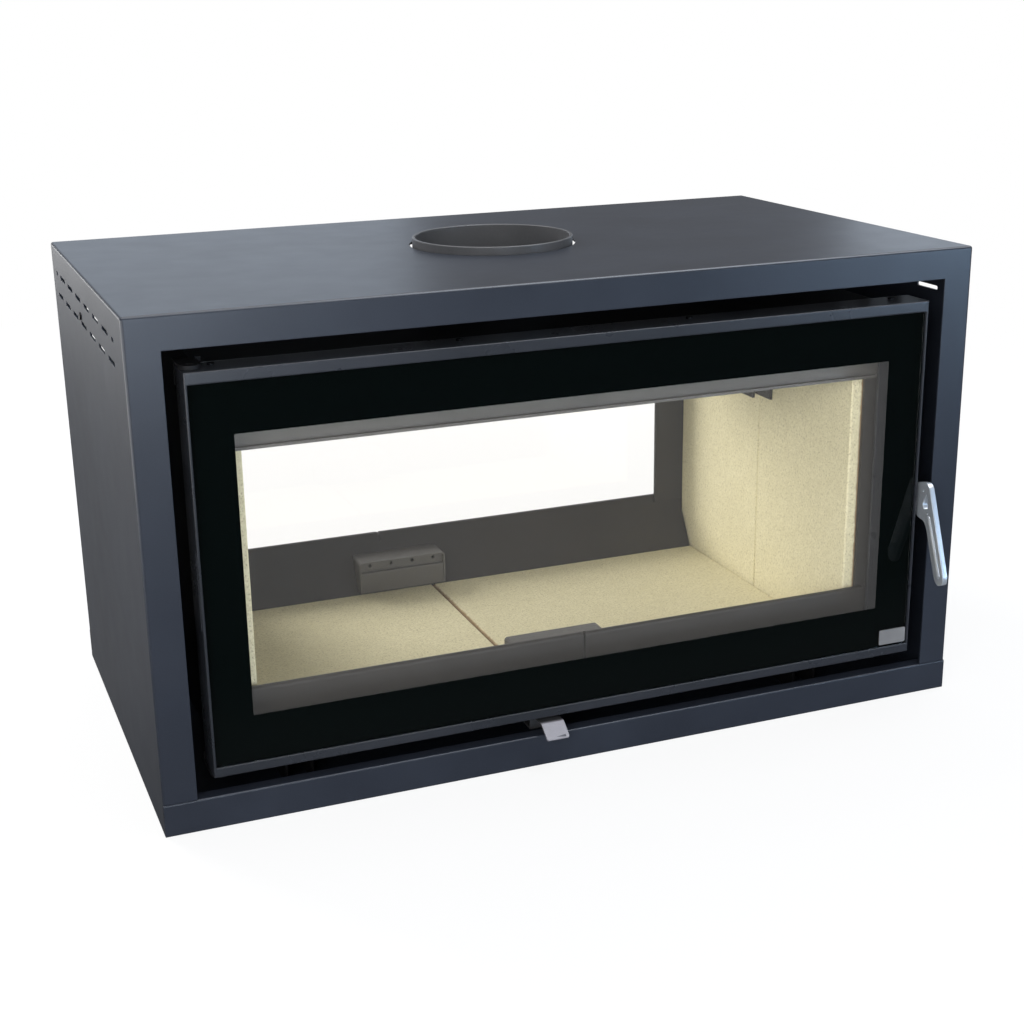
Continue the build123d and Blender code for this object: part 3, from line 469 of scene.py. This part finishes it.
# ---- pieces made here ---------------------------------------------------------------------------
def stand_in(name, mesh, node, body, slot, smooth=True):
    """Puts a mesh in a CAD node's place, on its body and in its slot's material."""
    mesh.polygons.foreach_set("use_smooth", [smooth] * len(mesh.polygons))
    mesh.materials.append(MATERIALS[slot])
    mesh.update()
    made = bpy.data.objects.new(name, mesh)
    scene.collection.objects.link(made)
    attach(made, body)
    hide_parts(node)


def mesh_of(name, points, faces):
    """A mesh from its points and faces."""
    mesh = bpy.data.meshes.new(name)
    mesh.from_pydata(points, [], faces)
    return mesh


def around(half, low, high, corner, sides, arcs):
    """Points in x and z round an upright rounded rectangle, with steps on its sides and arcs."""
    centres = ((half - corner, high - corner), (corner - half, high - corner))
    centres += ((corner - half, low + corner), (half - corner, low + corner))
    spots = []
    for number, (x, z) in enumerate(centres):
        for step in range(arcs + 1):
            angle = math.pi / 2 * (number + step / arcs)
            spots.append((x + corner * math.cos(angle), z + corner * math.sin(angle)))
        after_x, after_z = centres[(number + 1) % len(centres)]
        end = (after_x + corner * math.cos(angle), after_z + corner * math.sin(angle))
        start = spots[-1]
        steps = sides[number % 2]
        for step in range(1, steps):
            share = step / steps
            along_x = start[0] + share * (end[0] - start[0])
            spots.append((along_x, start[1] + share * (end[1] - start[1])))
    return spots


def softened(value):
    """A sine or cosine of a circle, pushed out towards a square's."""
    return abs(value) ** SECTION_SOFTNESS * math.copysign(1.0, value)


def fibre_ring(name, node, width, corner, relief, twist):
    """A ring of braid or tape in a node's place: its section is a softened rectangle with yarns."""
    low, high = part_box(node)
    half, middle = high.x, (low.y + high.y) / 2
    thick = high.y - low.y
    sides = (round(2 * half / YARN), round((high.z - low.z) / YARN))
    arcs = RING_ARCS if corner > 0 else 1
    points, faces, count = [], [], 0
    for number in range(SECTION_STEPS):
        angle = 2 * math.pi * number / SECTION_STEPS
        out, back = softened(math.cos(angle)), softened(math.sin(angle))
        inward = width / 2 * (1 - out)
        turn = max(corner - inward, LEAST_TURN)
        loop = around(half - inward, low.z + inward, high.z - inward, turn, sides, arcs)
        count = len(loop)
        for step, (x, z) in enumerate(loop):
            rising = math.sin(twist * angle + step * math.pi / 2)
            falling = math.sin(twist * angle - step * math.pi / 2)
            sink = relief * (0.5 - 0.5 * rising * falling)
            deep = thick / 2 * back * (1 - 2 * sink / thick)
            points.append((x, middle + deep, z))
    for number in range(SECTION_STEPS):
        after = (number + 1) % SECTION_STEPS
        for step in range(count):
            ahead = (step + 1) % count
            a, b = number * count + step, number * count + ahead
            faces.append((a, b, after * count + ahead, after * count + step))
    body = node.split("_")[0] + "_door"
    stand_in(name, mesh_of(name, points, faces), node, body, "rope")


def printed_border(name, node):
    """The black print on the glass's back, sunk a hair into the pane, with its window cut out."""
    low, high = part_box(node)
    outer, inner = low.y, high.y
    if low.y > 0:
        inner += PRINT_SINK
    else:
        outer -= PRINT_SINK
    top, bottom = high.z - PRINT_MARGIN, low.z + PRINT_MARGIN
    rings = (
        around(high.x - PRINT_MARGIN, bottom, top, PRINT_CORNER, (1, 1), PRINT_ARCS),
        around(WINDOW_HALF_WIDTH, WINDOW_LOW, WINDOW_HIGH, WINDOW_CORNER, (1, 1), PRINT_ARCS),
    )
    count = len(rings[0])
    points = [(x, y, z) for y in (outer, inner) for ring in rings for x, z in ring]
    faces = []
    for step in range(count):
        ahead = (step + 1) % count
        for first, second in ((0, 1), (1, 3), (3, 2), (2, 0)):
            a, b = first * count + step, first * count + ahead
            faces.append((a, b, second * count + ahead, second * count + step))
    body = node.split("_")[0] + "_door"
    stand_in(name, mesh_of(name, points, faces), node, body, "black_print", smooth=False)


def rounded(corners, radius):
    """A closed outline with its corners eased by about this radius."""
    outline = []
    for number, corner in enumerate(corners):
        here = Vector(corner)
        before, after = Vector(corners[number - 1]), Vector(corners[(number + 1) % len(corners)])
        shortest = min((before - here).length, (after - here).length)
        ease = min(radius, shortest / EASE_MOST)
        start = here + (before - here).normalized() * ease
        end = here + (after - here).normalized() * ease
        for step in range(EASE_STEPS + 1):
            share = step / EASE_STEPS
            outline.append(start.lerp(here, share).lerp(here.lerp(end, share), share))
    return outline


def disc(out, rise, radius):
    """A round outline."""
    turns = [2 * math.pi * step / DISC_STEPS for step in range(DISC_STEPS)]
    return [Vector((out + radius * math.cos(t), rise + radius * math.sin(t))) for t in turns]


def add_plate(bm, outlines, low_x, high_x):
    """A flat plate with eased edges, from outlines in millimetres in the lever's own plane."""
    data = bpy.data.curves.new("outline", "CURVE")
    data.dimensions = "2D"
    data.fill_mode = "BOTH"
    data.bevel_depth, data.bevel_resolution = LEVER_EDGE, LEVER_EDGE_STEPS
    data.offset = -LEVER_EDGE
    data.extrude = (high_x - low_x) / 2 - LEVER_EDGE
    for outline in outlines:
        line = data.splines.new("POLY")
        line.points.add(len(outline) - 1)
        for point, (out, rise) in zip(line.points, outline):
            point.co = (LEVER_FACE - out / 1000, LEVER_PIVOT + rise / 1000, 0.0, 1.0)
        line.use_cyclic_u = True
    holder = bpy.data.objects.new("outline", data)
    scene.collection.objects.link(holder)
    bpy.context.view_layer.update()
    mesh = bpy.data.meshes.new_from_object(holder)
    upright = Matrix(((0, 0, 1), (1, 0, 0), (0, 1, 0))).to_4x4()
    mesh.transform(Matrix.Translation(((low_x + high_x) / 2, 0, 0)) @ upright)
    bm.from_mesh(mesh)
    bpy.data.objects.remove(holder)
    bpy.data.curves.remove(data)
    bpy.data.meshes.remove(mesh)


def add_rib(bm, face_x, height):
    """A long domed rib on one face of the lever's plate."""
    first, last = (Vector(spot) for spot in LEVER_RIB)
    along = (last - first).normalized()
    across = Vector((-along.y, along.x))
    rings = []
    for level in range(RIB_LEVELS + 1):
        turn = math.pi / 2 * level / RIB_LEVELS
        radius = LEVER_RIB_HALF * max(math.cos(turn), RIB_LEAST)
        lift = height * math.sin(turn)
        ring = []
        for middle, way in ((last, 1), (first, -1)):
            for step in range(RIB_STEPS + 1):
                swing = math.pi * (step / RIB_STEPS - 0.5)
                spot = middle + way * radius * (math.cos(swing) * along + math.sin(swing) * across)
                place = (face_x + lift, LEVER_FACE - spot.x / 1000, LEVER_PIVOT + spot.y / 1000)
                ring.append(bm.verts.new(place))
        rings.append(ring)
    for low, high in zip(rings, rings[1:]):
        for step in range(len(low)):
            ahead = (step + 1) % len(low)
            bm.faces.new((low[step], low[ahead], high[ahead], high[step]))
    bm.faces.new(rings[-1])


def lever(name, end):
    """The door's handle: a cast plate with an eye, two small holes, a hub and a rib each side."""
    bm = bmesh.new()
    holes = [rounded(LEVER_EYE, LEVER_EYE_CORNER)]
    holes += [disc(*spot, LEVER_HOLE_RADIUS) for spot in LEVER_HOLES]
    add_plate(bm, [rounded(LEVER_OUTLINE, LEVER_CORNER), *holes], *LEVER_PLATE)
    add_plate(bm, [disc(LEVER_HUB_OUT, 0.0, LEVER_HUB_RADIUS)], *LEVER_HUB_PLATE)
    add_rib(bm, LEVER_PLATE[0], -LEVER_RIB_RISE)
    add_rib(bm, LEVER_PLATE[1], LEVER_RIB_RISE)
    bmesh.ops.recalc_face_normals(bm, faces=bm.faces)
    if end == "rear":
        bmesh.ops.rotate(bm, verts=bm.verts, matrix=Matrix.Rotation(math.pi, 3, "Z"))
    mesh = bpy.data.meshes.new(name)
    bm.to_mesh(mesh)
    bm.free()
    stand_in(name, mesh, end + "_handle", end + "_lever", "handle_metal")
    mesh.set_sharp_from_angle(angle=math.radians(LEVER_SHARP))


for end in ENDS:
    fibre_ring(end + "_rope", end + "_door_rope", ROPE_WIDTH, ROPE_CORNER, ROPE_RELIEF, ROPE_TWIST)
    fibre_ring(end + "_tape", end + "_glass_seal", TAPE_WIDTH, 0.0, TAPE_RELIEF, TAPE_TWIST)
    printed_border(end + "_border", end + "_glass_print")
    lever(end + "_lever_handle", end)


# ---- numbers of the camera, the floor and the light ---------------------------------------------
# the photograph's own viewpoint, worked out from the casing's corners
CAMERA_RIGHT = (0.92893894, -0.36992746, -0.01503756)
CAMERA_DOWN = (-0.12754939, -0.28163573, -0.95100603)
CAMERA_FORWARD = (0.34756813, 0.88534456, -0.30880642)
CAMERA_PLACE = (-0.6528, -1.7001, 0.7852)
CAMERA_LENS = 57.19
CAMERA_SENSOR = 36.0
CAMERA_CLIP = (0.05, 100.0)

FLOOR_HALF = 30.0
FLOOR_PAINT = (0.82, 0.82, 0.82)
# how white the floor reads to the eye near the object, and where in metres its shadow fades out
FLOOR_WHITE = 0.85
SHADOW_NEAR = 0.8
SHADOW_FAR = 2.5
# how bright the floor is in reflections: in front, behind, at the left, and what share of it is
# left far behind. Then the places, in metres, between which one turns into the next
FLOOR_GLOSS_FRONT = 0.03
FLOOR_GLOSS_BACK = 0.17
FLOOR_GLOSS_LEFT = 3.0
FAR_SHARE = 0.6
FRONT_TO_BACK = (-0.6, 0.2)
BACK_TO_FAR = (0.8, 2.2)
RIGHT_TO_LEFT = (-1.25, -1.55)
# what lies behind the glass is brighter, so that it is white through two panes
SEEN_THROUGH = 1.25
# the surround as light, and in reflections in front, behind and overhead. Then the directions, as
# parts of a unit length, between which one turns into the next
WORLD_LIGHT = 0.78
WORLD_GLOSS_FRONT = 0.06
WORLD_GLOSS_BACK = 0.17
WORLD_GLOSS_OVER = 3.0
WORLD_FRONT_TO_BACK = (-0.2, 0.4)
WORLD_SIDE_TO_OVER = (0.6, 0.8)

WHITE = (1.0, 1.0, 1.0)
COOL = (0.75, 0.86, 1.0)
BLUE = (0.50, 0.72, 1.0)
# name, place and aim in metres, size in metres, power in watts, tint, and if it shows in mirrors
LAMPS = (
    ("front_left", (-1.7, -2.4, 1.2), (0.1, 0.0, 0.2), 1.3, 50.0, WHITE, False),
    ("rear_left", (-1.3, 2.2, 1.4), (0.1, 0.0, 0.2), 1.3, 76.0, WHITE, False),
    ("top", (1.1, -0.3, 2.6), (0.0, 0.0, 0.4), 1.3, 28.0, COOL, True),
    ("back_left", (0.1, 3.5, 1.1), (0.0, 0.0, 0.5), 1.9, 8.5, COOL, True),
    ("back_right", (3.45, 3.0, 1.1), (0.0, 0.0, 0.5), 1.8, 11.0, COOL, True),
    ("front_right", (2.5, -2.9, 0.4), (0.4, 0.0, 0.4), 0.7, 25.0, BLUE, True),
    ("front_middle", (-0.2, -3.6, 0.3), (-0.4, 0.0, 0.3), 0.6, 24.0, COOL, True),
)


# ---- camera, floor and light --------------------------------------------------------------------
def add_camera():
    """A camera at the photograph's viewpoint."""
    right, down, forward = Vector(CAMERA_RIGHT), Vector(CAMERA_DOWN), Vector(CAMERA_FORWARD)
    data = bpy.data.cameras.new("camera")
    data.lens = CAMERA_LENS
    data.sensor_width = CAMERA_SENSOR
    data.clip_start, data.clip_end = CAMERA_CLIP
    camera = bpy.data.objects.new("camera", data)
    turn = Matrix((right, -down, -forward)).transposed()
    camera.matrix_world = Matrix.Translation(CAMERA_PLACE) @ turn.to_4x4()
    scene.collection.objects.link(camera)
    scene.camera = camera


def add_floor():
    """A wide pale floor that reads white to the eye and keeps a soft shadow."""
    half = FLOOR_HALF
    corners = [(-half, -half, 0.0), (half, -half, 0.0), (half, half, 0.0), (-half, half, 0.0)]
    mesh = mesh_of("floor", corners, [(0, 1, 2, 3)])
    floor = bpy.data.objects.new("floor", mesh)
    scene.collection.objects.link(floor)
    made = Surface("floor", FLOOR_PAINT, 0.9, specular=0.0)
    path = made.node("ShaderNodeLightPath").outputs
    through = path["Is Transmission Ray"]
    seen = made.math("MAXIMUM", path["Is Camera Ray"], through)
    across = made.node("ShaderNodeVectorMath", {0: made.place}, operation="LENGTH").outputs["Value"]
    share = made.times(seen, made.spread(across, SHADOW_NEAR, SHADOW_FAR, FLOOR_WHITE, 1.0))
    level = made.math("ADD", 1.0, made.times(through, SEEN_THROUGH - 1.0))
    white = made.node("ShaderNodeEmission", {"Strength": level}).outputs[0]
    # in reflections the floor is dim in front of the doors, so that the black glass stays black,
    # and bright at the left, for the upright edges
    mirror = made.spread(made.axis("Y"), *FRONT_TO_BACK, FLOOR_GLOSS_FRONT, FLOOR_GLOSS_BACK)
    mirror = made.times(mirror, made.spread(made.axis("Y"), *BACK_TO_FAR, 1.0, FAR_SHARE))
    left = made.spread(made.axis("X"), *RIGHT_TO_LEFT, 0.0, FLOOR_GLOSS_LEFT)
    grey = made.node("ShaderNodeEmission", {"Strength": made.math("ADD", mirror, left)}).outputs[0]
    mirrored = made.mixed(path["Is Glossy Ray"], made.shader.outputs[0], grey)
    made.surface(made.mixed(share, mirrored, white))
    mesh.materials.append(made.material)


def add_world():
    """A white surround to look at, a softer one in reflections, and a plain level of light."""
    world = bpy.data.worlds.new("studio")
    world.use_nodes = True
    scene.world = world
    tree = world.node_tree
    tree.nodes.clear()
    path = tree.nodes.new("ShaderNodeLightPath").outputs
    way = tree.nodes.new("ShaderNodeSeparateXYZ")
    tree.links.new(tree.nodes.new("ShaderNodeTexCoord").outputs["Generated"], way.inputs[0])

    def ground(strength):
        made = tree.nodes.new("ShaderNodeBackground")
        made.inputs["Color"].default_value = (*WHITE, 1.0)
        made.inputs["Strength"].default_value = strength
        return made.outputs[0]

    def mixed(share, first, second):
        mixer = tree.nodes.new("ShaderNodeMixShader")
        for number, socket in enumerate((share, first, second)):
            tree.links.new(socket, mixer.inputs[number])
        return mixer.outputs[0]

    def towards(axis, low, high):
        made = tree.nodes.new("ShaderNodeMapRange")
        tree.links.new(way.outputs[axis], made.inputs[0])
        made.inputs[1].default_value = low
        made.inputs[2].default_value = high
        return made.outputs[0]

    # in reflections the surround is dim in front and a little brighter behind, under a bright
    # ceiling that mostly the rounded edges mirror
    back, over = towards("Y", *WORLD_FRONT_TO_BACK), towards("Z", *WORLD_SIDE_TO_OVER)
    gloss = mixed(back, ground(WORLD_GLOSS_FRONT), ground(WORLD_GLOSS_BACK))
    gloss = mixed(over, gloss, ground(WORLD_GLOSS_OVER))
    lit = mixed(path["Is Glossy Ray"], ground(WORLD_LIGHT), gloss)
    behind = mixed(path["Is Transmission Ray"], lit, ground(SEEN_THROUGH))
    out = tree.nodes.new("ShaderNodeOutputWorld")
    tree.links.new(mixed(path["Is Camera Ray"], behind, ground(1.0)), out.inputs["Surface"])


def add_lamp(name, place, aim, size, power, tint, mirrored):
    """A square soft lamp that points at a place. It isn't seen itself, or only in reflections."""
    data = bpy.data.lights.new(name, "AREA")
    data.color = tint
    data.shape = "SQUARE"
    data.size = size
    data.energy = power
    lamp = bpy.data.objects.new(name, data)
    lamp.location = place
    lamp.rotation_euler = (Vector(aim) - Vector(place)).to_track_quat("-Z", "Y").to_euler()
    lamp.visible_camera = False
    lamp.visible_transmission = False
    lamp.visible_glossy = mirrored
    scene.collection.objects.link(lamp)


scene.view_settings.view_transform = "Standard"
add_camera()
add_floor()
add_world()
for lamp in LAMPS:
    add_lamp(*lamp)
